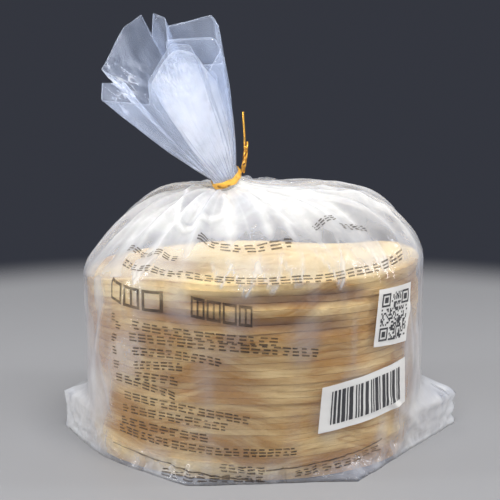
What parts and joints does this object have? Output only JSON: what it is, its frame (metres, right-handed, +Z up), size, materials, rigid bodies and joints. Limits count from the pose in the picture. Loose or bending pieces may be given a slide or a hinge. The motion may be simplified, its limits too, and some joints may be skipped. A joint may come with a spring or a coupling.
{
  "type": "corn tortilla stack",
  "caption": "Stack of round yellow corn tortillas in a clear film bag, pleated to a tied neck with a fanned ruffle above and small ears at the base corners.",
  "frame": {"origin": "centre of the round stack's base, on the surface it stands on", "axes": "+Z up along the stack, +X towards the larger ear of the bag, -Y towards the side the ruffle leans to"},
  "size_m": [0.1848, 0.1582, 0.1918],
  "materials": {
    "bag_film": "clear, faintly milky film with a soft gloss",
    "tortilla": "dry baked corn dough, pale yellow, with toasted spots",
    "bag_ink": "thin dark print on film",
    "label_white": "opaque white printed panel",
    "tie_ribbon": "golden orange ribbon over a thin wire"
  },
  "bodies": {
    "root": {"tortillas": "tortilla", "bag": "bag_film", "twist_tie": "tie_ribbon"}
  },
  "joints": []
}
